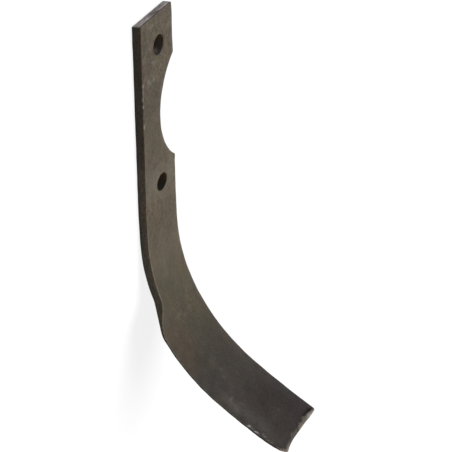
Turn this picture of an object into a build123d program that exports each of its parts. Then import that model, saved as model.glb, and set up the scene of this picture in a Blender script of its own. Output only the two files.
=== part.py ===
from build123d import *
import math
import os

# Rotary tiller blade: one length of flat spring-steel bar, pierced and notched at its bolted end,
# drawn out to a thin lip along one edge of its wing, bent up in a long curve and cropped at the tip.
# Millimetres. The mounting face lies on z = 0 and the origin is midway between the two bolt holes.
# +X runs along the flat shank to the wing, +Y to the notched edge, and the wing curls up to +Z.

# Bar stock
bar_width = 40.0
bar_thickness = 6.0
bar_corner_chamfer = 0.4

# Bolted end
bolt_hole_diameter = 12.5
bolt_hole_spacing = 100.0
bolt_line_to_notched_edge = 18.2
bar_past_first_hole = 21.0
flat_past_second_hole = 7.0

# Round notch that clears the rotor tube: its floor just reaches the bolt line
notch_radius = 47.8
notch_towards_wing = 1.1

# Three tangent arcs of the wing, with their radii on the hollow front face
lead_in_radius = 740.0
lead_in_angle = 2.4
bend_radius = 126.0
bend_angle = 56.0
tail_radius = 560.0
tail_length = 49.5

# Thin lip drawn out of the cutting edge, with its lengths along the hollow face from the start of the bend
lip_start = 44.0
lip_run_out = 19.5
lip_reach = 13.3
lip_edge_thickness = 1.0
lip_edge_chamfer = 0.3
taper_width_in_bar = 18.0

# Cropped tip: the cut leans outwards to the back face, and flares out where the lip is drawn out
tip_shear_angle = 17.0
tip_flare_radius = 100.0
tip_corner_radius = 8.0

# Places that follow from the sizes
notched_edge = bolt_line_to_notched_edge
cutting_edge = notched_edge - bar_width
lip_edge = cutting_edge - lip_reach
taper_line = cutting_edge + taper_width_in_bar
first_hole = -bolt_hole_spacing / 2
second_hole = bolt_hole_spacing / 2
bolted_end = first_hole - bar_past_first_hole
flat_end = second_hole + flat_past_second_hole

# Modelling aids: sections through the lip's run-out, and how far a cut passes what it cuts
run_out_steps = 8
cut_margin = 5.0


def along_arc(radius, angle):
    """Move that carries a frame on the hollow face round an arc about the centre above it."""
    return Pos(0, 0, radius) * Rot(0, -angle, 0) * Pos(0, 0, -radius)


def arc_angle(length, radius):
    """Angle, in degrees, that a length along the hollow face takes up on an arc."""
    return math.degrees(length / radius)


def bar_section(spread):
    """Section in the YZ plane under z = 0, from the plain bar at spread 0 to the drawn-out lip at 1."""
    edge = cutting_edge - lip_reach * spread
    edge_back = -bar_thickness + (bar_thickness - lip_edge_thickness) * spread
    edge_chamfer = bar_corner_chamfer + (lip_edge_chamfer - bar_corner_chamfer) * spread
    corners = Polyline(
        (notched_edge, 0),
        (edge, 0),
        (edge, edge_back),
        (taper_line, -bar_thickness),
        (notched_edge, -bar_thickness),
        close=True,
    )
    section = make_face(corners)
    section = chamfer(section.vertices().group_by(Axis.X)[-1], bar_corner_chamfer)
    section = chamfer(section.vertices().group_by(Axis.X)[0], edge_chamfer)
    return Plane.YZ * section


def straight_length(section, length):
    """The section carried along +X."""
    return extrude(section, length, dir=(1, 0, 0))


def bent_length(section, radius, angle):
    """The section carried up round an arc whose radius is that of the hollow face."""
    return revolve(section, Axis((0, 0, radius), (0, -1, 0)), angle)


def lip_run_out_length(radius, angle):
    """Stretch of the bend where the lip is drawn out: its edge swells along a quarter sine wave."""
    sections = []
    for step in range(run_out_steps + 1):
        share = step / run_out_steps
        spread = math.sin(math.radians(90 * share))
        sections.append(along_arc(radius, angle * share) * bar_section(spread))
    return loft(sections)


def bent_bar():
    """Flat shank and bent wing, left long at the tip, and the frame at the tip's front edge."""
    plain = bar_section(0)
    with_lip = bar_section(1)
    start_angle = arc_angle(lip_start, bend_radius)
    run_out_angle = arc_angle(lip_run_out, bend_radius)
    lipped_angle = bend_angle - start_angle - run_out_angle
    tail_angle = arc_angle(tail_length, tail_radius)
    spare_angle = arc_angle(bar_thickness + cut_margin, tail_radius)

    place = Pos(bolted_end, 0, bar_thickness)
    bar = place * straight_length(plain, flat_end - bolted_end)
    place = Pos(flat_end, 0, bar_thickness)
    bar += place * bent_length(plain, lead_in_radius, lead_in_angle)
    place = place * along_arc(lead_in_radius, lead_in_angle)
    bar += place * bent_length(plain, bend_radius, start_angle)
    place = place * along_arc(bend_radius, start_angle)
    bar += place * lip_run_out_length(bend_radius, run_out_angle)
    place = place * along_arc(bend_radius, run_out_angle)
    bar += place * bent_length(with_lip, bend_radius, lipped_angle)
    place = place * along_arc(bend_radius, lipped_angle)
    bar += place * bent_length(with_lip, tail_radius, tail_angle + spare_angle)
    return bar, place * along_arc(tail_radius, tail_angle)


def tip_crop(tip_place):
    """Everything beyond the tip's outline: square across the bar, then flaring along an arc to the lip."""
    flare_width = taper_line - lip_edge
    flare_sweep = math.asin(flare_width / tip_flare_radius)
    flare_end = tip_flare_radius * (1 - math.cos(flare_sweep))
    above = notched_edge + cut_margin
    below = lip_edge - cut_margin
    beyond = bar_thickness + flare_end + 3 * cut_margin
    corner_start = flare_end - 2 * tip_corner_radius
    flare = RadiusArc((0, taper_line), (flare_end, lip_edge), -tip_flare_radius)
    straight_sides = Polyline(
        (flare_end, lip_edge),
        (corner_start, lip_edge),
        (corner_start, below),
        (beyond, below),
        (beyond, above),
        (0, above),
        (0, taper_line),
    )
    waste = make_face(flare + straight_sides)
    lip_corner = waste.vertices().sort_by_distance((flare_end, lip_edge))[0]
    waste = fillet(lip_corner, tip_corner_radius)
    lean = Vector(math.tan(math.radians(tip_shear_angle)), 0, -1)
    return tip_place * extrude(waste, bar_thickness + cut_margin, dir=lean, both=True)


def bolt_hole(x):
    """Hole through the shank on the bolt line."""
    return Pos(x, 0, bar_thickness / 2) * Cylinder(bolt_hole_diameter / 2, bar_thickness + cut_margin)


def rotor_notch():
    """Round cut that enters at the notched edge between the holes, a little nearer the wing."""
    centre = Pos(notch_towards_wing, notch_radius, bar_thickness / 2)
    return centre * Cylinder(notch_radius, bar_thickness + cut_margin)


def tiller_blade():
    """The finished blade."""
    blade, tip_place = bent_bar()
    blade -= tip_crop(tip_place)
    blade -= bolt_hole(first_hole)
    blade -= bolt_hole(second_hole)
    blade -= rotor_notch()
    return blade


os.makedirs("parts", exist_ok=True)
export_step(tiller_blade(), "parts/tiller_blade.step")
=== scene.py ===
import bpy
import numpy as np
from mathutils import Matrix, Vector


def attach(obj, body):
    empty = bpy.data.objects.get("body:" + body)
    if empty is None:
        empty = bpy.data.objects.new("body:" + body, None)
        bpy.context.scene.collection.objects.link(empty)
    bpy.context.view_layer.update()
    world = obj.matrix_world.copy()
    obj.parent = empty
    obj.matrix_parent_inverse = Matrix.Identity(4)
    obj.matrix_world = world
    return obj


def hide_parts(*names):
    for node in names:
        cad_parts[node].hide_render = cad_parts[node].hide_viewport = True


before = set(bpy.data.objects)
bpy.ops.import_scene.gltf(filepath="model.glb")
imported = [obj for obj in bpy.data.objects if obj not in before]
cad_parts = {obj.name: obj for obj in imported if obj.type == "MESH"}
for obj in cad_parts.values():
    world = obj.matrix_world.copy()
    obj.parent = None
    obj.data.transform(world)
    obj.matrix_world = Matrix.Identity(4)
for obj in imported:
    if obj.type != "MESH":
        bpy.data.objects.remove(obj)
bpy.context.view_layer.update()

# Camera: it looks down at the lying blade from the bolted end and is rolled, so that the shank
# stands upright in the picture and the wing sweeps to the lower right.
camera_place = (-0.56356, -0.85865, 0.48472)
camera_right = Vector((0.00298, 0.44777, 0.89414))
camera_down = Vector((0.83455, -0.49373, 0.24446))
camera_forward = Vector((0.55092, 0.74547, -0.37517))
photo_width = 452
focal_length_in_pixels = 1778.72

lens = bpy.data.cameras.new("ViewCamera")
lens.sensor_width = 36.0
lens.lens = lens.sensor_width * focal_length_in_pixels / photo_width
lens.clip_start = 0.01
lens.clip_end = 50.0
camera = bpy.data.objects.new("ViewCamera", lens)
bpy.context.scene.collection.objects.link(camera)
turn = Matrix((camera_right, -camera_down, -camera_forward)).transposed()
camera.matrix_world = Matrix.Translation(camera_place) @ turn.to_4x4()
bpy.context.scene.camera = camera
bpy.context.scene.view_settings.view_transform = "Standard"

# Blade: one length of rolled spring-steel bar, 40 by 6 mm, pierced and notched cold at the bolted
# end, its cutting edge drawn out hot to a thin lip, then bent up and cropped at the tip. It lies
# on its mounting face.

# Lengths are millimetres on the bar before it was bent: x along the hollow face from midway
# between the bolt holes, y across, and depth under that face.
bar_thickness = 6.2
bolted_end = -71.0
notched_edge = 18.2
cutting_edge = -21.8
notch_radius = 47.8
notch_centre = 1.1
notch_floor = 0.3
edge_swells = (
    (-41.0, 6.0, 0.33), (-37.8, 1.8, 0.40), (40.0, 2.6, 0.22), (78.0, 24.0, 0.4), (187.0, 14.0, 0.2),
)
bolt_holes = (-50.0, 50.0)
hole_radius = 6.3
flat_end = 57.0
bend_arcs = ((740.0, 31.0), (126.0, 123.15), (560.0, 80.0))
lip_start = 128.6
lip_run_out = 24.0
thinning_start = 130.0
lip_thinning = 22.0
lip_reach = 14.0
lip_narrowing = 0.007
lip_thickness = 1.0
taper_line = -3.8
tip_line = 262.5
flare_start = -12.5
flare_radius = 60.0
corner_long = 14.0
corner_wide = 6.5
end_skew = 0.8
bevel_width = 2.4
bevel_depth = 2.4
blunt_long = 2.6
blunt_wide = 0.6
blunt_sweep = 0.92
blunt_tip = 0.75
blunt_tip_reach = 0.8
bevel_unevenness = 0.6
bevel_run_out = 5.0
crop_swell = 0.35
crop_swell_place = 14.0
crop_swell_reach = 4.5

# The lip's corner is a quarter of an ellipse that ends on the flare of the tip.
corner_y = cutting_edge - lip_reach + lip_narrowing * (tip_line - lip_start) + corner_wide
corner_x = tip_line + flare_radius - np.sqrt(flare_radius**2 - (corner_y - flare_start) ** 2) - corner_long
lip_end = corner_x + corner_long * np.sqrt(0.5)


def half_wave(share):
    """Half a cosine wave that rises from 0 to 1 as the share does."""
    return (1 - np.cos(np.pi * np.clip(share, 0, 1))) / 2


def near(distance, reach):
    """1 at no distance, falling off as a bell curve of that reach."""
    return np.exp(-((distance / reach) ** 2))


def edge_line(x):
    """Offset of the cutting edge: straight along the bar, out to the lip by half a cosine wave, along
    the lip, which narrows evenly, and round its corner by a quarter ellipse."""
    reach = lip_reach - lip_narrowing * (x - lip_start)
    lip = cutting_edge - reach * half_wave((x - lip_start) / lip_run_out)
    past = np.clip((x - corner_x) / corner_long, 0, 1)
    return lip + corner_wide * (1 - np.sqrt(1 - past**2))


def edge_thickness(x):
    """Thickness at the cutting edge: falls from the bar's to the lip's by half a cosine wave."""
    return bar_thickness - (bar_thickness - lip_thickness) * half_wave((x - thinning_start) / lip_thinning)


def tip_curve(y):
    """How far the cropped tip stands past the tip line: not at all, then out along the arc of the
    flare, then back round the quarter ellipse of the lip's corner."""
    flare = flare_radius - np.sqrt(flare_radius**2 - np.minimum(y - flare_start, 0) ** 2)
    below = np.clip((corner_y - y) / corner_wide, 0, 1)
    corner = corner_x - tip_line + corner_long * np.sqrt(1 - below**2)
    return np.where(y < corner_y, corner, flare)


def notch_line(x):
    """Offset of the notched edge: straight, with low bell-curve swells where punching and bending
    spread the bar, the arc of an ellipse that blunts it at the tip, and the circle of the notch."""
    half = np.clip(x - notch_centre, -notch_radius, notch_radius)
    past = np.clip((x - tip_line) / blunt_long + blunt_sweep, 0, blunt_sweep)
    straight = notched_edge - blunt_wide * (1 - np.sqrt(1 - past**2))
    swollen = straight + sum(swell * near(x - place, reach) for place, reach, swell in edge_swells)
    return np.minimum(swollen, notch_floor + notch_radius - np.sqrt(notch_radius**2 - half**2))


def back_depth(y, edge, thickness):
    """Depth of the back face: full up to the taper line, then falling in a straight line to the edge's
    thickness, with the corner at the taper line eased by a hyperbola."""
    ease = 0.12
    t = (taper_line - y) / (taper_line - edge)
    fall = (t + np.sqrt(t * t + ease**2)) / (1 + np.sqrt(1 + ease**2))
    return bar_thickness - (bar_thickness - thickness) * fall


def ripples(x, y, depth, shortest, longest, seed, waves=28):
    """Uneven field of about unit size: a sum of plane waves with random directions and phases, their
    wavelengths spread evenly in the logarithm between the shortest and the longest."""
    rng = np.random.default_rng(seed)
    way = rng.normal(size=(3, waves))
    way /= np.linalg.norm(way, axis=0)
    way *= 2 * np.pi / (shortest * (longest / shortest) ** rng.random(waves))
    phase = rng.random(waves) * 2 * np.pi
    at = np.multiply.outer(x, way[0]) + np.multiply.outer(y, way[1]) + np.multiply.outer(depth, way[2])
    return np.sin(at + phase).sum(-1) * np.sqrt(2 / waves)


def tip_past(y, depth):
    """The tip's stand past the tip line at a depth: its front edge is drawn down in an uneven bevel
    that rounds over, as a quarter sine wave, into the cropped face, and runs out in a bell curve
    at the notched edge. Two more bell curves swell the crop near that edge and blunt its corner."""
    uneven_width = bevel_width + bevel_unevenness * ripples(y, 0 * y, 0 * y, 5.0, 16.0, 21)
    uneven_width = uneven_width * (1 - near(notched_edge - y, bevel_run_out))
    swollen = tip_curve(y) + crop_swell * near(y - crop_swell_place, crop_swell_reach)
    blunted = swollen - blunt_tip * near(notched_edge - y, blunt_tip_reach)
    return blunted - uneven_width * (1 - np.sin(np.pi / 2 * np.clip(depth / bevel_depth, 0, 1)))


def end_past(depth):
    """The sheared end's stand past its line: it leans out evenly towards the hollow face."""
    return end_skew * (1 - depth / bar_thickness)


def bent(x, y, depth):
    """Place on the bent blade, in metres. Each arc in turn carries the hollow face on by
    r(sin b - sin a) along and r(cos a - cos b) up while it turns from a to b, and depth is laid off
    square to the face."""
    along = np.minimum(x, flat_end)
    up = np.zeros_like(x)
    angle = np.zeros_like(x)
    start, turned = flat_end, 0.0
    for radius, length in bend_arcs:
        run = np.clip(x - start, 0.0, length) / radius
        along = along + radius * (np.sin(turned + run) - np.sin(turned))
        up = up + radius * (np.cos(turned) - np.cos(turned + run))
        angle = angle + run
        start, turned = start + length, turned + length / radius
    place = (along + depth * np.sin(angle), y, bar_thickness + up - depth * np.cos(angle))
    return np.stack(place, -1) / 1000


# The skin is a closed section carried along the bar in stations. A section runs across the hollow
# face, down the notched side, back across the back face and up the cutting side, and each of its
# corners is a small arc. Both ends of the bar are rounded over by drawing the last sections in.
station_step = 0.64
face_columns = 52
wall_steps = 7
end_round = 0.55
tip_round = 0.28
lean_start = 222.0
end_skew_start = -60.0
round_front = 0.42
round_unevenness = 0.10
round_more_at_end = 0.35
round_end_reach = 2.5
round_back = 0.25
round_share = 0.36
notch_half = np.sqrt(notch_radius**2 - (notch_radius + notch_floor - notched_edge) ** 2)

stations = np.arange(bolted_end + end_round, tip_line - tip_round, station_step)
stations[-1] = tip_line - tip_round
for place in (notch_centre - notch_half, notch_centre + notch_half):
    stations[np.abs(stations - place).argmin()] = place
rounding = np.linspace(0, np.pi / 2, 5)[1:]
at_start = bolted_end + end_round * (1 - np.sin(rounding[::-1]))
at_tip = tip_line - tip_round * (1 - np.sin(rounding))
drawn_in_start = end_round * (1 - np.cos(rounding[::-1]))
drawn_in_tip = tip_round * (1 - np.cos(rounding))
drawn_in = np.concatenate([drawn_in_start, np.zeros(len(stations)), drawn_in_tip])[:, None]
stations = np.concatenate([at_start, stations, at_tip])

lead = np.clip((stations - lean_start) / (tip_line - lean_start), 0, 1)
edge_station = stations + lead * (lip_end - tip_line)
edge = edge_line(edge_station)[:, None]
side = notch_line(stations)[:, None]
thick = edge_thickness(edge_station)[:, None]
more_round = (round_more_at_end * near(stations - bolted_end, round_end_reach))[:, None]
uneven = ripples(stations, 0 * stations, 0 * stations, 3.0, 20.0, 3)[:, None]
round_most = round_share * thick
round_cut = np.minimum(round_front + round_unevenness * uneven + more_round, round_most)
round_side = round_front + more_round

arc = np.radians((0.0, 22.5, 45.0, 67.5, 90.0))
cos, sin = np.cos(arc), np.sin(arc)
cut_y = edge + round_cut * (1 - cos)
side_y = side - round_side * (1 - cos)
cut_front = round_cut * (1 - sin)
under_y = edge + np.minimum(round_back, round_most) * (1 - cos)
side_front = round_side * (1 - sin)
across = np.linspace(0, 1, face_columns)
face_y = (edge + round_cut) * (1 - across) + (side - round_side) * across
under_face_y = under_y[:, -1:] * (1 - across) + (side - round_side) * across
face_back = back_depth(under_face_y, under_y[:, -1:], thick)
cut_back = thick - np.minimum(round_back, round_most) * (1 - sin)
side_back = bar_thickness - side_front
drop = np.linspace(0, 1, wall_steps + 2)[1:-1]
side_wall = side_front[:, :1] * (1 - drop) + side_back[:, :1] * drop
cut_wall = cut_back[:, :1] * (1 - drop) + cut_front[:, :1] * drop

ring_y = np.concatenate([
    cut_y[:, 2:4], face_y, side_y[:, 3:1:-1],
    side_y[:, 1::-1], side + 0 * side_wall, side_y[:, :2],
    side_y[:, 2:4], under_face_y[:, ::-1], under_y[:, 3:1:-1],
    under_y[:, 1::-1], edge + 0 * cut_wall, cut_y[:, :2],
], 1)
ring_depth = np.concatenate([
    cut_front[:, 2:4], 0 * face_y, side_front[:, 3:1:-1],
    side_front[:, 1::-1], side_wall, side_back[:, :2],
    side_back[:, 2:4], face_back[:, ::-1], cut_back[:, 3:1:-1],
    cut_back[:, 1::-1], cut_wall, cut_front[:, :2],
], 1)
flat, wall = np.zeros(face_columns), np.ones(wall_steps)
out_y = np.concatenate([
    -cos[2:4], flat, cos[3:1:-1],
    cos[1::-1], wall, cos[:2],
    cos[2:4], flat, -cos[3:1:-1],
    -cos[1::-1], -wall, -cos[:2],
])
out_depth = np.concatenate([
    -sin[2:4], flat - 1, -sin[3:1:-1],
    -sin[1::-1], 0 * wall, sin[:2],
    sin[2:4], flat + 1, sin[3:1:-1],
    sin[1::-1], 0 * wall, -sin[:2],
])
row = face_columns + 4
column = wall_steps + 4
ring = 2 * (row + column)
count = len(stations)

# The last stations follow the shape of the cropped tip and the lean of the sheared end.
skewed = np.clip((end_skew_start - stations) / (end_skew_start - bolted_end), 0, 1)[:, None]
ring_x = stations[:, None] + lead[:, None] * tip_past(ring_y, ring_depth) - skewed * end_past(ring_depth)

# Rolling leaves the faces a little uneven, and the drawn-out part more so.
worn_height = 0.04
hammered_height = 0.10
forged_middle = 190.0
forged_half = 45.0
forged_side = -12.0
worn = worn_height * ripples(ring_x, ring_y, ring_depth, 9.0, 45.0, 5)
forged = near(np.maximum(0, np.abs(ring_x - forged_middle) - forged_half), 18)
forged = forged * near(np.maximum(0, ring_y - forged_side), 8)
hammered = hammered_height * forged * ripples(ring_x, ring_y, ring_depth, 7.0, 22.0, 6)
skin_y = ring_y + out_y * (worn - drawn_in)
skin_depth = ring_depth + out_depth * (worn + hammered - drawn_in)

# Knocks on the front corner of the cutting edge and on the lip: place along, half length and bite.
# Where the edge is thick they dent the face too, half as deep.
knocks = (
    (-31.0, 0.8, 0.20), (-21.6, 1.3, 0.45), (-16.2, 0.8, 0.45), (-1.7, 0.9, 0.20),
    (233.8, 1.0, 0.35), (236.5, 0.6, 0.30), (240.0, 1.3, 0.50), (244.4, 0.7, 0.45),
    (246.3, 0.9, 0.50), (249.5, 0.6, 0.30), (252.5, 0.8, 0.35), (257.0, 0.6, 0.30),
)
knock_reach = 0.9
thick_edge = 2.0
at_corner = near(np.hypot(skin_y - edge, skin_depth), knock_reach)
for place, half_length, bite in knocks:
    cut = bite * near(ring_x - place, half_length) * at_corner
    skin_y = skin_y + cut
    skin_depth = skin_depth + 0.5 * cut * (thick > thick_edge)

# The crop dragged a short shallow groove in the hollow face, just inside the tip.
groove_x = 258.9
groove_y = 11.5
groove_half = 3.0
groove_depth = 0.35
groove = near(ring_x - groove_x, 0.8) * near(np.maximum(0, np.abs(ring_y - groove_y) - groove_half), 2.2)
skin_depth = skin_depth + groove_depth * (groove * near(ring_depth, 0.5))

cell = np.arange(count * ring).reshape(count, ring)
all_x, all_y, all_depth = [ring_x.ravel()], [skin_y.ravel()], [skin_depth.ravel()]
made = count * ring
kept = np.ones((count - 1, ring), bool)
quads = []


def strip(grid, keep=None):
    """The quads between neighbouring rows and columns of a grid of vertex numbers."""
    q = np.stack([grid[:-1, :-1], grid[1:, :-1], grid[1:, 1:], grid[:-1, 1:]], -1)
    return q.reshape(-1, 4) if keep is None else q[keep]


# Bolt holes: punched, so the mouth is drawn in a little and the last third breaks out wider. Each
# is one strip from a square in the hollow face, in to the mouth, down the bore and out to the same
# square in the back face. Wear is how much wider the mouth is along and across the bar.
rim = 0.35
mouth_margin = 0.8
break_out = 0.12
break_out_start = 2.6
break_out_length = 3.4
wear_reach = 4.0
square_half = 8.3
quarter = np.radians((0, 30, 60, 90))
bore_depth = np.concatenate([
    [0], rim * (1 - np.cos(quarter)), np.linspace(rim, bar_thickness - rim, 8)[1:-1],
    bar_thickness - rim * (1 - np.sin(quarter)), [bar_thickness],
])
bore_wider = np.concatenate([
    [mouth_margin], rim * (1 - np.sin(quarter)), np.zeros(6),
    rim * (1 - np.cos(quarter)), [mouth_margin],
])
bore_wider = bore_wider + break_out * np.clip((bore_depth - break_out_start) / break_out_length, 0, 1) ** 2
bore_worn = near(bore_depth, wear_reach)[:, None]
bore_wear = ((0.50, 0.15), (-0.20, 0.25))
easing = np.linspace(0, 1, 7)[1:-1][:, None]
wall_rows = slice(len(easing) + 3, -len(easing) - 3)
opposite = 2 * row + column - 1
bores = []
for hole, (wear_along, wear_across) in zip(bolt_holes, bore_wear):
    i0, i1 = np.abs(stations - hole + square_half).argmin(), np.abs(stations - hole - square_half).argmin()
    level = face_y[(i0 + i1) // 2]
    j0, j1 = np.abs(level + square_half).argmin() + 2, np.abs(level - square_half).argmin() + 2
    kept[i0:i1, j0:j1] = False
    kept[i0:i1, opposite - j1:opposite - j0] = False
    long, wide = np.arange(i0, i1), np.arange(j0, j1)
    i = np.concatenate([long, np.full(j1 - j0, i1), long[::-1] + 1, np.full(j1 - j0, i0)])
    j = np.concatenate([np.full(i1 - i0, j0), wide, np.full(i1 - i0, j1), wide[::-1] + 1])
    front, back = cell[i, j], cell[i, opposite - j]
    front_edge = [part[0][front] for part in (all_x, all_y, all_depth)]
    back_edge = [part[0][back] for part in (all_x, all_y, all_depth)]
    angle = np.arctan2(front_edge[1], front_edge[0] - hole)
    radius = (hole_radius + bore_wider)[:, None]
    radius = radius + bore_worn * (wear_along * np.cos(angle) ** 2 + wear_across * np.sin(angle) ** 2)
    bore = (hole + radius * np.cos(angle), radius * np.sin(angle), bore_depth[:, None] + 0 * angle)
    parts = [
        np.concatenate([a * (1 - easing) + b[:1] * easing, b, b[-1:] * (1 - easing) + c * easing])
        for a, b, c in zip(front_edge, bore, back_edge)
    ]
    numbers = made + np.arange(parts[0].size).reshape(parts[0].shape)
    made += parts[0].size
    bores.append(numbers[wall_rows].ravel())
    all_x.append(parts[0].ravel())
    all_y.append(parts[1].ravel())
    all_depth.append(parts[2].ravel())
    whole = np.concatenate([front[None], numbers, back[None]])
    quads.append(strip(np.concatenate([whole, whole[:, :1]], 1).T))

quads.append(strip(np.concatenate([cell, cell[:, :1]], 1), kept))

# End faces: each is a patch between its four borders, straight across from border to border, less
# the part that both ways count twice, and stands as far out as the crop or the shear puts it.
a = np.linspace(0, 1, row)[:, None]
b = np.linspace(0, 1, column + 2)[None]
for station, outwards in ((0, False), (count - 1, True)):
    numbers = np.zeros((row, column + 2), int)
    numbers[:, 0] = cell[station, :row]
    numbers[-1, 1:-1] = cell[station, row:row + column]
    numbers[:, -1] = cell[station, row + column:2 * row + column][::-1]
    numbers[0, 1:-1] = cell[station, 2 * row + column:][::-1]
    for part in (all_y, all_depth):
        f = part[0][numbers]
        both = f[:, :1] * (1 - b) + f[:, -1:] * b + f[:1] * (1 - a) + f[-1:] * a
        near_corners = f[:1, :1] * (1 - a) * (1 - b) + f[:1, -1:] * (1 - a) * b
        far_corners = f[-1:, :1] * a * (1 - b) + f[-1:, -1:] * a * b
        part.append((both - near_corners - far_corners)[1:-1, 1:-1].ravel())
    cap_y, cap_depth = all_y[-1], all_depth[-1]
    all_x.append(tip_line + tip_past(cap_y, cap_depth) if outwards else bolted_end - end_past(cap_depth))
    numbers[1:-1, 1:-1] = made + np.arange((row - 2) * column).reshape(row - 2, column)
    made += (row - 2) * column
    cap = strip(numbers)
    quads.append(cap[:, ::-1] if outwards else cap)

x, y, depth = np.concatenate(all_x), np.concatenate(all_y), np.concatenate(all_depth)
faces = np.concatenate(quads)
mesh = bpy.data.meshes.new("blade")
mesh.from_pydata(bent(x, y, depth), [], faces.tolist())
mesh.polygons.foreach_set("use_smooth", np.ones(len(faces), bool))
blank = mesh.attributes.new("blank", "FLOAT_VECTOR", "POINT")
blank.data.foreach_set("vector", np.stack([x, y, depth], -1).astype(np.float32).ravel())
mesh.update()
blade = bpy.data.objects.new("blade", mesh)
bpy.context.scene.collection.objects.link(blade)

# How far each vertex is from the borders of the skin, and from those the shares of the skin that
# look different: its corners and front border, the sheared end and the cropped tip, the cut walls
# of notch and bores, and the rolled flank.
to_cut = y - edge_line(x)
to_side = notch_line(x) - y
to_end = x - bolted_end + end_past(depth)
to_tip = tip_line + tip_past(y, depth) - x
to_cut_back = edge_thickness(x) - depth
to_side_back = bar_thickness - depth
corner_gap = np.min([
    np.hypot(to_cut, depth), np.hypot(to_side, depth), np.hypot(to_cut, to_cut_back),
    np.hypot(to_side, to_side_back), np.hypot(to_end, depth), np.hypot(to_end, to_side_back),
    np.hypot(to_end, to_cut), np.hypot(to_end, to_side), np.hypot(to_tip, depth),
    np.hypot(to_tip, to_side), np.hypot(to_tip, to_cut),
], 0)


def under(gap, reach):
    """1 within the reach of a border and 0 past twice the reach, straight between."""
    return np.clip(2 - gap / reach, 0, 1)


def spots(a, b, marks):
    """Sum of soft oval spots, each given by its two places, its two reaches and its share."""
    soft = [share * near((a - pa) / ra, 1) * near((b - pb) / rb, 1) for pa, pb, ra, rb, share in marks]
    return np.clip(sum(soft), 0, 1)


ragged = 0.35 * ripples(y, 0 * y, 0 * y, 2.0, 14.0, 11)
on_front = near(depth, 1.2)
pierced = under(to_side, 0.2) * (np.abs(x - notch_centre) < notch_half)
pierced = pierced * under(0.3 - np.minimum(depth, to_side_back), 0.1)
pierced[np.concatenate(bores)] = 1
shares = {
    "corner": near(corner_gap, 0.75),
    "border": on_front * near(to_side, 2.2) * (x > bolted_end + 1),
    "sheared": under(to_end, 0.25) * np.clip((depth - 0.6 - ragged) / 0.5, 0, 1),
    "cropped": under(to_tip, 0.25),
    "pierced": pierced,
    "flank": under(to_cut, 0.3) * (edge_thickness(x) > 1.4),
}

# Marks on the faces: brown films of rust, paler and darker patches of scale, spots where it is
# rubbed thin, bare chips, bright bites in the lip, small soot marks and, along the groove inside the
# tip, a near-black painted shadow. The last ones lie on the cutting flank, on the sheared end and on
# the crop of the tip, where metal is torn, buffed or burnt, and in the first bore a pale grey patch
# is painted shade: the shaded floor as seen through the hole.
shares["brown"] = on_front * spots(x, y, (
    (163, -22, 15, 9, 0.9), (150, -30, 6, 5, 0.8), (174, -30, 10, 4, 0.5), (139, -19, 5, 4, 0.5),
    (189, 16, 12, 3, 0.35), (-60, 2, 5, 9, 0.3), (-39.0, 15.6, 1.6, 1.3, 0.6), (122, 14, 8, 5, 0.5),
))
shares["pale"] = on_front * spots(x, y, (
    (-52, 11, 7, 6, 0.45), (-4, -4, 7, 6, 0.45), (22, -1.0, 22, 3.0, 0.25), (58, 14, 7, 4, 0.4),
    (80, 14, 10, 4, 0.4), (98, 15, 8, 3, 0.25), (140, 14, 9, 4, 0.45), (152, 15, 7, 3, 0.25),
    (190, 15, 8, 3, 0.3), (224, 15, 8, 4, 0.35), (55.8, 5.2, 2.0, 1.5, 0.4), (116, 10, 7, 8, 0.4),
    (138, -26, 6, 4, 0.5), (176, 14, 10, 4, 0.5), (206, 14, 20, 5, 0.9), (240, 14, 10, 4, 0.4),
    (217, -15, 13, 5, 0.8), (240, -14, 6, 4, 0.4), (257.5, -22, 2.5, 7, 0.7),
))
shares["dim"] = on_front * spots(x, y, (
    (-52, -17, 10, 6, 0.8), (-38, -19, 8, 4, 0.5), (-41, 0, 5, 5, 0.7), (-30, 8, 5, 5, 0.8),
    (-37.2, 17.0, 1.3, 1.1, 0.9), (44, -13, 8, 5, 0.4), (68, -8, 7, 5, 0.4), (96, -9, 14, 5, 0.3),
    (174, -19, 12, 5, 0.5),
))
shares["rubbed"] = on_front * spots(x, y, (
    (45, -9, 9, 10, 0.55), (47, 11, 10, 5, 0.4), (216, -28, 9, 5, 0.55), (236, -25, 13, 6, 0.45),
    (250, -29, 8, 5, 0.2), (193, -11, 6, 3, 0.2), (148.6, 0.5, 1.2, 2.6, 0.35),
    (150.4, -6, 1.0, 2.4, 0.35), (146.8, -12, 1.2, 3, 0.3),
    (155, -23.5, 1.3, 1.0, 0.7), (166, -15.6, 1.4, 1.0, 0.5), (213, -24.5, 0.9, 3.2, 0.5),
    (195, -10.5, 1.2, 0.9, 0.2), (200, -13.5, 1.4, 0.8, 0.2), (221, -21.5, 1.5, 0.8, 0.3),
    (243, -4, 1.6, 1.0, 0.25), (-29.2, -7.4, 1.3, 1.1, 1.2),
    (-31, -14, 1.3, 1.1, 1.2), (-28.2, -11.4, 1.1, 1.0, 1.1), (-40, -5.8, 1.3, 1.0, 1.1),
    (-41.5, -8.2, 1.1, 1.0, 1.0), (-66.2, -6.5, 1.3, 1.0, 1.1), (-64.8, 3.2, 1.0, 0.8, 0.6),
    (-59.2, -17, 1.1, 0.8, 0.6), (-55.5, -11.2, 1.0, 0.8, 0.5), (-45.2, -9.2, 1.0, 0.8, 0.6),
    (-41, 5, 1.0, 0.8, 0.6), (-34.8, 2.2, 1.0, 0.8, 0.6), (-23, -12.8, 1.0, 0.8, 0.6),
    (-5.8, -17.8, 1.0, 0.8, 0.5), (37.6, 11, 1.2, 0.9, 0.4),
))
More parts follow.
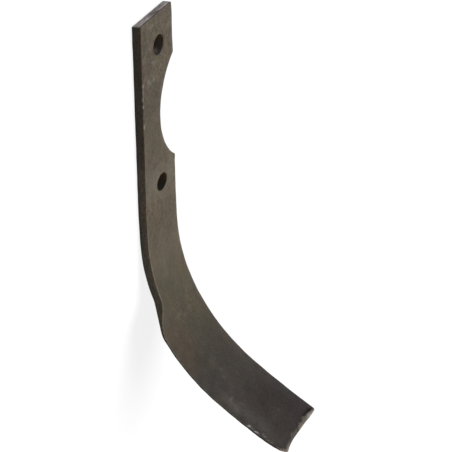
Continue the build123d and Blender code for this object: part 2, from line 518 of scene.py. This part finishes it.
shares["chipped"] = near(depth, 0.8) * spots(x, y, (
    (-31.0, -20.9, 1.0, 0.6, 0.8), (-21.6, -21.5, 1.5, 0.7, 0.7), (-16.2, -21.6, 0.9, 0.9, 1.0),
    (-1.7, -21.0, 1.3, 0.5, 0.9), (-26, -21.3, 2.5, 0.4, 0.4),
)) + near(to_cut, 1.0) * spots(x, depth, ((31.5, 2.3, 1.3, 0.6, 0.25), (45.6, 2.9, 0.5, 0.9, 0.30)))
shares["bright"] = near(depth, 1.6) * spots(x, y, (
    (233.8, -33.2, 1.0, 0.7, 1.0), (236.5, -33.2, 0.8, 0.5, 0.6), (240.0, -33.6, 1.3, 0.6, 0.8),
    (244.4, -31.2, 0.6, 0.8, 0.25), (246.3, -32.1, 0.9, 0.7, 0.4), (249.5, -32.8, 0.7, 0.4, 0.45),
    (252.5, -32.6, 0.8, 0.5, 0.4), (257.0, -32.9, 0.7, 0.5, 0.4), (261.7, -32.4, 0.8, 1.0, 1.0),
))
# Near-black spots: those along x 259 are a painted shadow in and beside the groove inside the tip, and the
# rest are small soot marks on the shank.
shares["soot_and_groove_shadow"] = on_front * spots(x, y, (
    (259.7, 13.4, 1.6, 1.6, 1.9), (259.6, 10.6, 1.7, 2.8, 1.9), (259.0, 7.2, 1.4, 2.0, 1.3),
    (259.4, 3.5, 0.8, 1.6, 0.4), (258.9, -4.4, 0.9, 1.3, 0.6), (-3.4, -14.6, 0.5, 0.5, 0.6),
    (28, 3.9, 0.5, 0.7, 0.6), (-21.0, -20.4, 1.2, 0.5, 0.5),
))
shares["rusted"] = near(to_cut, 1.0) * spots(x, depth, (
    (-65, 2.2, 7, 2.0, 0.6), (-50, 1.4, 6, 1.2, 0.3), (-9, 2.0, 9, 1.5, 0.35), (24, 1.6, 9, 1.5, 0.35),
    (62, 1.6, 7, 1.4, 0.2), (104, 1.4, 12, 1.4, 0.2),
))
# A pale grey patch low on the far wall of the first bore: painted shade, the shaded floor as seen through
# the hole, put on the wall.
shares["painted_floor_in_bore"] = pierced * near(x + 44, 3.0) * spots(y, depth, ((2.2, 4.0, 1.5, 1.6, 1.0),))
shares["torn_light"] = spots(y, depth, (
    (12, 1.7, 4.5, 0.5, 1.0), (6.5, 1.9, 2.2, 0.4, 0.6), (-8, 2.1, 1.6, 0.5, 0.6),
    (-13, 2.0, 3.5, 0.5, 0.8), (-15, 3.6, 4.0, 0.9, 0.6), (15, 3.2, 2.5, 1.2, 0.5),
))
shares["torn_dark"] = spots(y, depth, (
    (-1.5, 2.6, 4.5, 2.2, 0.8), (8.5, 3.6, 5.5, 1.1, 0.6),
    (-22.0, 3.5, 0.9, 3.5, 0.8), (1.5, 1.4, 2.2, 0.9, 0.8),
))
shares["buffed"] = spots(y, depth, (
    (15.3, 1.5, 1.2, 1.1, 0.8), (12.0, 1.9, 1.8, 0.9, 0.85), (8.6, 2.2, 1.2, 0.7, 0.5),
    (-0.6, 1.8, 1.4, 0.7, 0.5), (-26.5, 1.0, 2.0, 0.8, 0.3),
))
shares["charred"] = spots(y, depth, ((-12.0, 3.2, 1.4, 1.6, 0.8), (17.0, 4.4, 1.8, 1.6, 0.85)))
shares["end_rim"] = near(to_end, 1.0) * near(depth, 1.2) * (0.45 + 0.5 * near(y - 10, 6.0))
for name, share in shares.items():
    mesh.attributes.new(name, "FLOAT", "POINT").data.foreach_set("value", share.astype(np.float32))

steel = bpy.data.materials.new("scaled_steel")
steel.use_nodes = True
tree = steel.node_tree
shader = tree.nodes["Principled BSDF"]


def put(kind, sockets, **settings):
    """Adds a shader node with its settings. A number or colour is written on its socket, and another
    node's socket is linked to it."""
    node = tree.nodes.new("ShaderNode" + kind)
    for name, value in settings.items():
        setattr(node, name, value)
    for name, value in sockets.items():
        if isinstance(value, bpy.types.NodeSocket):
            tree.links.new(value, node.inputs[name])
        else:
            node.inputs[name].default_value = value
    return node


def share_of(name):
    """The skin's own share of that name."""
    return put("Attribute", {}, attribute_name=name).outputs["Fac"]


def noise(along, across, detail=3.0, roughness=0.55, shift=(0, 0, 0), deep=None):
    """Fractal noise on the unbent bar, with the given waves for each millimetre along and across, and
    through its thickness where they differ there."""
    sockets = {0: blank_place, 1: (along, across, deep or across), 2: shift}
    at = put("VectorMath", sockets, operation="MULTIPLY_ADD").outputs[0]
    sockets = {"Vector": at, "Scale": 1.0, "Detail": detail, "Roughness": roughness}
    return put("TexNoise", sockets).outputs[0]


def span(value, low, high, start=0.0, end=1.0):
    """The value carried from low..high to start..end and held there."""
    return put("MapRange", {0: value, 1: low, 2: high, 3: start, 4: end}).outputs[0]


def ramp(value, stops):
    """Colour read off a row of stops, each a place from 0 to 1 and a colour or a grey level."""
    node = put("ValToRGB", {"Fac": value})
    row = node.color_ramp.elements
    for k, (place, colour) in enumerate(stops):
        stop = row[k] if k < 2 else row.new(place)
        stop.position = place
        stop.color = (*colour, 1) if isinstance(colour, tuple) else (colour, colour, colour, 1)
    return node.outputs[0]


def lay(share, under_it, over_it, way="MIX"):
    """One colour laid over another by a share."""
    node = tree.nodes.new("ShaderNodeMix")
    node.data_type, node.blend_type = "RGBA", way
    for socket, value in ((0, share), (6, under_it), (7, over_it)):
        if isinstance(value, bpy.types.NodeSocket):
            tree.links.new(value, node.inputs[socket])
        else:
            node.inputs[socket].default_value = (*value, 1) if socket else value
    return node.outputs[2]


def times(a, b):
    """The product of two numbers."""
    return put("Math", {0: a, 1: b}, operation="MULTIPLY").outputs[0]


def tones(place, stops):
    """Colour read off a row of stops, each a place in millimetres and a colour or a grey level."""
    low, high = stops[0][0], stops[-1][0]
    return ramp(span(place, low, high), [((at - low) / (high - low), colour) for at, colour in stops])


blank_place = put("Attribute", {}, attribute_name="blank").outputs["Vector"]
place_of = put("SeparateXYZ", {0: blank_place})
along, over, under_face = place_of.outputs[0], place_of.outputs[1], place_of.outputs[2]

# Rolling scale: warm on the shank and a darker neutral grey on the wing, which was heated twice, and
# darker still towards the tip, which is partly painted shade where the wing turns away from the
# overhead lamp. It is livelier at the bolted end and calmer on the wing.
scale = tones(along, (
    (-71, (0.094, 0.076, 0.051)), (-38, (0.088, 0.070, 0.048)), (-16, (0.080, 0.064, 0.044)),
    (20, (0.089, 0.071, 0.048)), (48, (0.104, 0.084, 0.056)), (75, (0.092, 0.072, 0.048)),
    (108, (0.091, 0.0745, 0.0505)), (130, (0.081, 0.069, 0.0455)), (150, (0.074, 0.061, 0.041)),
    (172, (0.060, 0.051, 0.038)), (192, (0.058, 0.050, 0.041)), (212, (0.058, 0.050, 0.044)),
    (230, (0.051, 0.043, 0.039)), (262, (0.048, 0.040, 0.037)),
))
lively = tones(along, (
    (-71, 0.9), (-44, 1.0), (-28, 0.95), (-12, 0.76), (4, 0.70), (20, 0.54), (36, 0.78), (62, 0.74),
    (86, 0.50), (106, 0.35), (126, 0.33), (146, 0.52), (166, 0.45), (190, 0.36), (226, 0.29), (262, 0.34),
))
cloudy = tones(along, (
    (-71, 0.85), (-34, 0.85), (-14, 0.55), (10, 0.35), (60, 0.25), (86, 0.35), (106, 0.60),
    (146, 0.50), (166, 0.20), (190, 0.18), (206, 0.35), (228, 0.50), (262, 0.35),
))
tint = ramp(noise(0.09, 0.13, 3.0, 0.5), (
    (0.3, (0.90, 1.0, 0.92)), (0.5, (1.0, 1.0, 1.0)), (0.7, (1.10, 1.0, 1.08)),
))
warmth = ramp(noise(0.04, 0.06, 1.0, 0.4, (5, 8, 2)), (
    (0.35, (1.01, 1.0, 0.955)), (0.65, (0.995, 1.0, 1.045)),
))
cloud = ramp(noise(0.045, 0.06, 2.0, 0.5, (2, 2, 9)), ((0.35, 0.72), (0.5, 1.0), (0.65, 1.28)))
mottle = ramp(noise(0.20, 0.26, 4.0, 0.6, (9, 2, 4)), (
    (0.3, (0.63, 0.61, 0.58)), (0.5, (1.0, 1.0, 1.0)), (0.7, (1.36, 1.39, 1.44)),
))
speck = ramp(noise(0.75, 0.9, 3.0, 0.7, (3, 7, 1)), (
    (0.3, (0.52, 0.50, 0.46)), (0.5, (1.0, 1.0, 1.0)), (0.7, (1.50, 1.53, 1.60)),
))
scale = lay(lively, scale, tint, "MULTIPLY")
scale = lay(1.0, scale, warmth, "MULTIPLY")
scale = lay(cloudy, scale, cloud, "MULTIPLY")
scale = lay(lively, scale, mottle, "MULTIPLY")
scale = lay(lively, scale, speck, "MULTIPLY")
flecked = tones(along, ((-71, 0.6), (-50, 0.75), (-36, 1.2), (-24, 0.9), (-12, 0.6), (262, 0.6)))
flecks = times(times(lively, flecked), span(noise(0.5, 0.6, 3.0, 0.55, (1, 5, 8)), 0.62, 0.72))
scale = lay(flecks, scale, (0.18, 0.16, 0.13))
rubbed = times(share_of("rubbed"), span(noise(0.5, 0.5, 3.0, 0.6, (8, 1, 4)), 0.3, 0.6, 0.35, 1.0))
scale = lay(rubbed, scale, (0.175, 0.158, 0.138))
brown = times(share_of("brown"), span(noise(0.2, 0.25, 4.0, 0.6, (4, 4, 4)), 0.32, 0.6, 0.1, 1.0))
scale = lay(brown, scale, (0.085, 0.0595, 0.041))

# The rolled flank: rust and olive scale in long streaks, paler from the second hole on.
streak = ((0.35, (0.062, 0.058, 0.044)), (0.5, (0.078, 0.065, 0.050)), (0.65, (0.114, 0.078, 0.060)))
flank = ramp(noise(0.06, 0.4, 4.0, 0.6, (6, 1, 3)), streak)
flank = lay(1.0, flank, tones(along, (
    (-71, 0.88), (22, 0.94), (36, 1.66), (60, 1.46), (132, 1.60),
)), "MULTIPLY")
flank = lay(1.0, flank, tones(under_face, (
    (0.5, (1.11, 1.07, 0.95)), (2.2, (1.08, 1.06, 1.00)),
    (4.0, (1.09, 1.13, 1.15)), (6.0, (1.05, 1.10, 1.14)),
)), "MULTIPLY")
flank = lay(times(span(along, 20, 40), span(under_face, 3.8, 5.2)), flank, (0.74, 0.76, 0.78), "MULTIPLY")
flank = lay(share_of("rusted"), flank, (0.120, 0.072, 0.056))
flank_speck = ramp(noise(0.5, 0.9, 3.0, 0.7, (3, 1, 1)), ((0.3, 0.6), (0.5, 1.0), (0.7, 1.45)))
flank = lay(1.0, flank, flank_speck, "MULTIPLY")
scale = lay(share_of("flank"), scale, flank)
scale = lay(share_of("border"), scale, tones(along, (
    (-71, (1.07, 1.23, 1.52)), (-50, (1.09, 1.23, 1.50)), (-34, (1.00, 1.20, 1.46)),
    (-22, (1.02, 1.22, 1.48)), (-10, (1.22, 1.36, 1.56)), (30, (1.22, 1.34, 1.50)),
    (45, (1.12, 1.24, 1.38)), (75, (1.22, 1.28, 1.38)), (262, (1.22, 1.28, 1.38)),
)), "MULTIPLY")
scale = lay(share_of("pale"), scale, (1.27, 1.27, 1.29), "MULTIPLY")
scale = lay(share_of("dim"), scale, (0.78, 0.79, 0.80), "MULTIPLY")
# Pale along the rounded corners: partly edge wear and partly a painted highlight where the corners catch
# the light, strongest from 82 to 144 mm along.
more_wear_and_highlight = tones(along, ((-71, 0.6), (24, 0.7), (50, 1.9), (70, 2.0), (82, 2.9), (144, 2.9), (156, 1.3)))
broken_up = span(noise(0.35, 0.35, 4.0, 0.6, (2, 9, 5)), 0.38, 0.62, 0.05, 0.35)
worn_and_highlit_corner = times(times(share_of("corner"), broken_up), more_wear_and_highlight)
scale = lay(worn_and_highlit_corner, scale, (0.19, 0.175, 0.135))

# The sheared end is bare and torn behind a thin brown rim, and the hot-cropped tip is patchy with
# brown and grey scale.
tear = ((0.34, (0.17, 0.14, 0.135)), (0.5, (0.34, 0.30, 0.29)), (0.66, (0.56, 0.52, 0.52)))
torn = ramp(noise(0.4, 0.2, 4.0, 0.6, (8, 8, 2), 0.95), tear)
torn = lay(share_of("torn_dark"), torn, (0.14, 0.115, 0.118))
torn = lay(share_of("torn_light"), torn, (0.66, 0.60, 0.59))
scale = lay(share_of("end_rim"), scale, (0.130, 0.095, 0.088))
scale = lay(share_of("sheared"), scale, torn)
cropped = tones(over, (
    (-30, (0.205, 0.16, 0.132)), (-25, (0.118, 0.104, 0.087)), (-21, (0.068, 0.062, 0.053)),
    (-17, (0.066, 0.060, 0.051)), (-11, (0.092, 0.076, 0.062)), (-7.2, (0.064, 0.049, 0.041)),
    (-4.7, (0.145, 0.12, 0.10)), (-2, (0.147, 0.120, 0.095)), (2, (0.115, 0.094, 0.073)),
    (5, (0.115, 0.104, 0.084)), (8, (0.18, 0.162, 0.140)), (10.5, (0.27, 0.24, 0.225)),
    (13, (0.205, 0.18, 0.16)), (15.2, (0.25, 0.23, 0.205)), (17.0, (0.24, 0.22, 0.20)),
    (18.0, (0.17, 0.155, 0.14)),
))
patches = ramp(noise(0.3, 0.35, 4.0, 0.6, (2, 8, 6)), ((0.3, 0.85), (0.5, 1.0), (0.7, 1.18)))
cropped = lay(1.0, cropped, patches, "MULTIPLY")
cropped = lay(share_of("buffed"), cropped, (0.42, 0.37, 0.32))
cropped = lay(share_of("charred"), cropped, (0.040, 0.027, 0.026))
# Near-black: soot marks on the shank, and a painted shadow along the groove inside the tip.
scale = lay(share_of("soot_and_groove_shadow"), scale, (0.007, 0.004, 0.003))
scale = lay(share_of("cropped"), scale, cropped)
pierced = tones(along, (
    (-54, (0.125, 0.085, 0.045)), (-49, (0.110, 0.090, 0.062)), (-44, (0.098, 0.086, 0.076)),
    (40, (0.070, 0.060, 0.036)), (47, (0.140, 0.088, 0.045)), (50, (0.115, 0.080, 0.040)),
    (53, (0.072, 0.062, 0.036)), (56, (0.050, 0.045, 0.032)),
))
scale = lay(share_of("pierced"), scale, pierced)
# Painted shade: the shaded floor as seen through the hole, low in the first bore.
scale = lay(share_of("painted_floor_in_bore"), scale, (0.275, 0.240, 0.220))
scale = lay(share_of("chipped"), scale, (0.36, 0.32, 0.25))
bright = times(share_of("bright"), span(noise(1.4, 1.4, 2.0, 0.5, (5, 3, 3)), 0.36, 0.52))
scale = lay(bright, scale, (0.72, 0.70, 0.68))
tree.links.new(scale, shader.inputs["Base Color"])

# Only the bites and the torn end shine as metal, and the scale is half matt all over.
metal_in_bites = 0.8
torn_share_of_metal = 0.45
smoothest = 0.52
roughest = 0.74
torn_metal = times(share_of("sheared"), torn_share_of_metal)
bare = put("Math", {0: bright, 1: torn_metal}, operation="MAXIMUM").outputs[0]
tree.links.new(times(bare, metal_in_bites), shader.inputs["Metallic"])
roughness = span(noise(0.9, 1.0, 4.0, 0.6, (7, 7, 7)), 0.3, 0.7, smoothest, roughest)
tree.links.new(roughness, shader.inputs["Roughness"])
shader.inputs["Specular IOR Level"].default_value = 0.12
fine, coarse = noise(1.6, 1.8, 4.0, 0.65), noise(0.35, 0.4, 3.0, 0.5, (1, 1, 1))
grain = put("Math", {0: fine, 1: coarse}, operation="ADD").outputs[0]
bump = put("Bump", {"Strength": 0.6, "Distance": 0.0003, "Height": grain})
tree.links.new(bump.outputs[0], shader.inputs["Normal"])
mesh.materials.append(steel)

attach(blade, "root")
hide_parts("tiller_blade")

# Floor: a plain pale studio sweep under the blade. It shows white to the camera and in
# reflections, keeps the blade's soft shadow, and is dark where the bolt holes shut it in.
floor_half = 6.0
floor_drop = 0.0002
shut_in_radius = 0.0085
sheet_colour = (0.20, 0.20, 0.20, 1)
bounce_colour = (0.30, 0.30, 0.30, 1)
sheet_glow = 0.85

floor_mesh = bpy.data.meshes.new("floor")
corners = [
    (-floor_half, -floor_half, 0), (floor_half, -floor_half, 0),
    (floor_half, floor_half, 0), (-floor_half, floor_half, 0),
]
floor_mesh.from_pydata(corners, [], [(0, 1, 2, 3)])
floor = bpy.data.objects.new("floor", floor_mesh)
floor.location.z = -floor_drop
bpy.context.scene.collection.objects.link(floor)

paper = bpy.data.materials.new("pale_floor")
paper.use_nodes = True
tree = paper.node_tree
tree.nodes.clear()


def seen_ray():
    """1 for the rays of the camera, of reflections and of transmission, and 0 for the light's own."""
    ray = put("LightPath", {}).outputs
    seen = put("Math", {0: ray["Is Camera Ray"], 1: ray["Is Glossy Ray"]}, operation="MAXIMUM").outputs[0]
    return put("Math", {0: seen, 1: ray["Is Transmission Ray"]}, operation="MAXIMUM").outputs[0]


spot = put("TexCoord", {}).outputs["Object"]
gaps = [
    put("VectorMath", {0: spot, 1: (hole / 1000, 0, 0)}, operation="DISTANCE").outputs["Value"]
    for hole in bolt_holes
]
nearest = put("Math", {0: gaps[0], 1: gaps[1]}, operation="MINIMUM").outputs[0]
open_share = put("Math", {0: nearest, 1: shut_in_radius}, operation="GREATER_THAN").outputs[0]
bounce = put("BsdfDiffuse", {"Color": bounce_colour}).outputs[0]
sheet = put("BsdfDiffuse", {"Color": sheet_colour}).outputs[0]
glow = put("Emission", {"Strength": times(open_share, sheet_glow)}).outputs[0]
lit = put("AddShader", {0: sheet, 1: glow}).outputs[0]
shown = put("MixShader", {0: seen_ray(), 1: bounce, 2: lit}).outputs[0]
put("OutputMaterial", {"Surface": shown})
floor_mesh.materials.append(paper)

# Studio light: one broad soft lamp overhead, a little towards the notched side, and an even dim
# surround that shows as a white backdrop.
lamp_strength = 2.7
lamp_spread = np.radians(50.0)
lamp_aim = Vector((0.08, -0.30, -1.0))
surround_strength = 0.16

lamp = bpy.data.lights.new("overhead", "SUN")
lamp.energy = lamp_strength
lamp.angle = lamp_spread
overhead = bpy.data.objects.new("overhead", lamp)
overhead.rotation_euler = lamp_aim.to_track_quat("-Z", "Y").to_euler()
bpy.context.scene.collection.objects.link(overhead)

world = bpy.data.worlds.new("surround")
bpy.context.scene.world = world
world.use_nodes = True
tree = world.node_tree
tree.nodes.clear()
dim = put("Background", {"Color": (1, 1, 1, 1), "Strength": surround_strength}).outputs[0]
white = put("Background", {"Color": (1, 1, 1, 1), "Strength": 1.0}).outputs[0]
backdrop = put("MixShader", {0: seen_ray(), 1: dim, 2: white}).outputs[0]
put("OutputWorld", {"Surface": backdrop})
